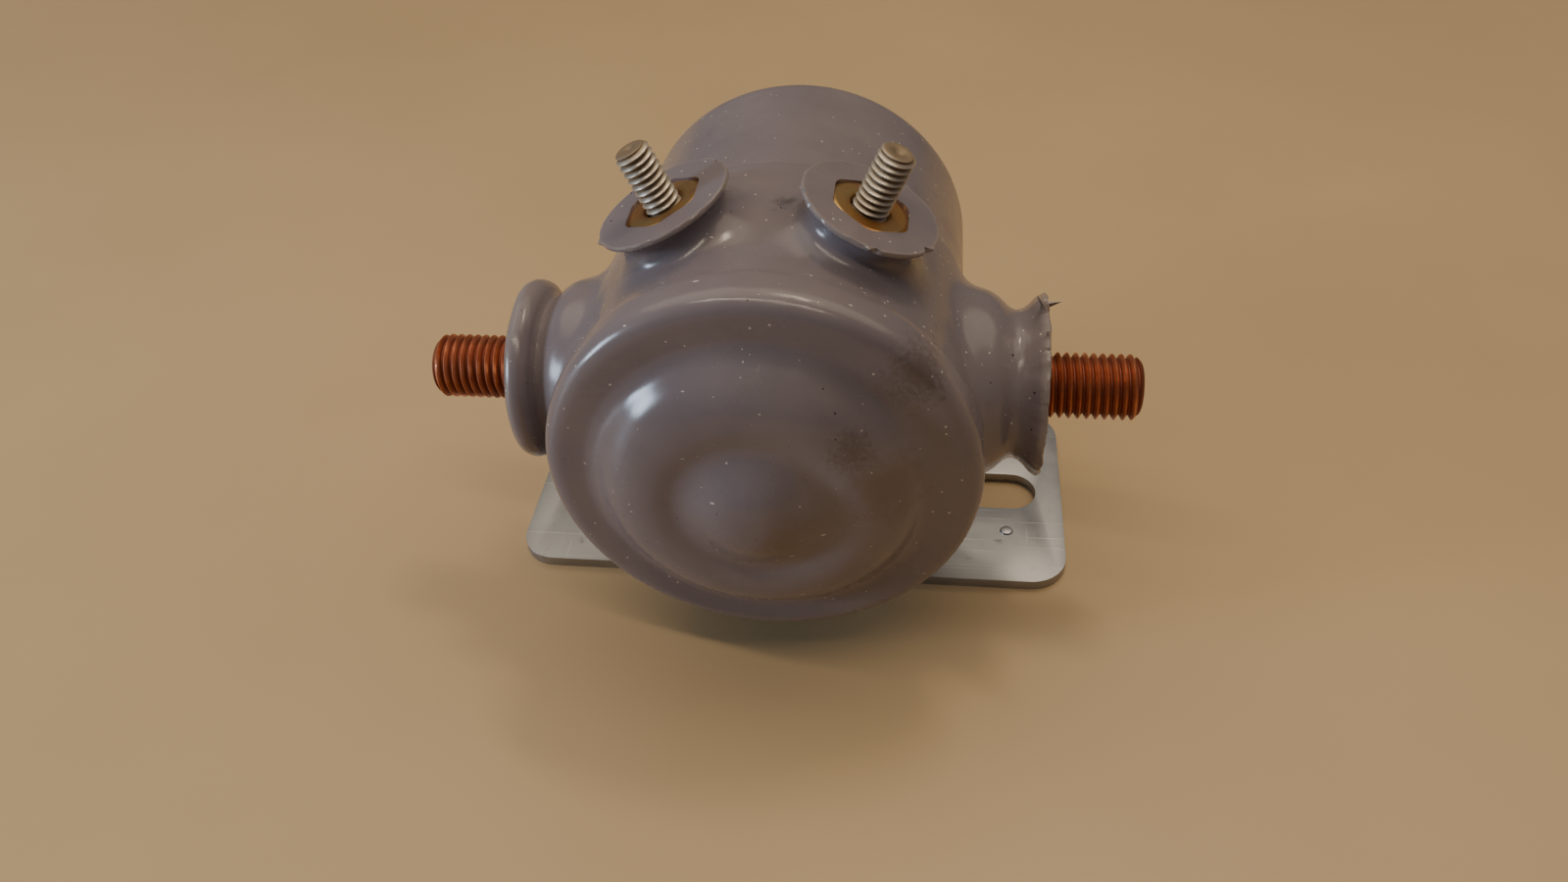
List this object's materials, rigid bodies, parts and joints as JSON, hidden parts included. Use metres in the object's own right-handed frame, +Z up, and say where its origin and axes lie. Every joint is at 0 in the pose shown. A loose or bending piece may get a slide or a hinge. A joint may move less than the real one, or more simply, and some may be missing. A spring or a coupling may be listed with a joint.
{
  "type": "dipped plunger contactor",
  "caption": "Round plunger contactor under a soft grey dip coating, with threaded power studs at the sides, coil studs on top and a flat slotted plate.",
  "frame": {"origin": "midway between the two mounting slots, on the plate's underside", "axes": "+X along the power studs, +Y along the can towards its rear, +Z up from the mounting surface"},
  "size_m": [0.0866, 0.0638, 0.0643],
  "materials": {
    "dipped_vinyl": "semi-gloss soft grey dip coating",
    "zinc_plate": "bright clear zinc over rolled steel",
    "deep_drawn_steel": "plain drawn steel, coated over",
    "phenolic": "dark moulded phenolic",
    "gasket_rubber": "black sheet rubber",
    "copper": "dark red-brown copper, threads bright at the crests",
    "zinc_stud": "dull zinc, rolled thread",
    "yellow_zinc": "yellow chromate over zinc",
    "fibre": "red vulcanised fibre",
    "enamelled_wire": "enamelled copper winding",
    "nylon": "natural nylon",
    "varnished_paper": "varnished paper wrap",
    "soft_iron": "turned soft iron",
    "brass": "drawn brass",
    "spring_steel": "spring steel",
    "tinned_copper": "tinned copper lug and lead"
  },
  "bodies": {
    "base": {"mounting_plate": "zinc_plate", "can_saddle": "zinc_plate", "coil_can": "deep_drawn_steel", "terminal_housing": "phenolic", "end_cap": "deep_drawn_steel", "cap_gasket": "gasket_rubber", "dip_coating": "dipped_vinyl", "coil_bobbin": "nylon", "coil_winding": "enamelled_wire", "winding_wrap": "varnished_paper", "pole_piece": "soft_iron", "guide_sleeve": "brass", "flux_washer": "soft_iron", "return_spring": "spring_steel", "power_stud_left": "copper", "power_washer_left": "fibre", "power_nut_left": "yellow_zinc", "coil_stud_left": "zinc_stud", "coil_lug_left": "tinned_copper", "coil_lead_left": "tinned_copper", "coil_washer_left": "fibre", "coil_nut_left": "yellow_zinc", "power_stud_right": "copper", "power_washer_right": "fibre", "power_nut_right": "yellow_zinc", "coil_stud_right": "zinc_stud", "coil_lug_right": "tinned_copper", "coil_lead_right": "tinned_copper", "coil_washer_right": "fibre", "coil_nut_right": "yellow_zinc"},
    "contact_carrier": {"contact_disc": "copper", "contact_bush": "fibre", "contact_washer": "fibre", "contact_spring": "spring_steel"},
    "plunger_set": {"plunger": "soft_iron", "plunger_rod": "spring_steel", "retaining_clip": "spring_steel", "spring_cup": "spring_steel"}
  },
  "joints": [
    {"name": "contact_closing", "type": "slide", "parent": "base", "child": "contact_carrier", "axis": [0, 1, 0], "range_m": [0, 0.002], "stiffness_N_per_m": 500, "springref_m": -0.006, "deforming": ["return_spring"]},
    {"name": "plunger_overtravel", "type": "slide", "parent": "contact_carrier", "child": "plunger_set", "axis": [0, 1, 0], "range_m": [0, 0.0008], "stiffness_N_per_m": 1500, "springref_m": -0.004, "deforming": ["contact_spring"]}
  ]
}
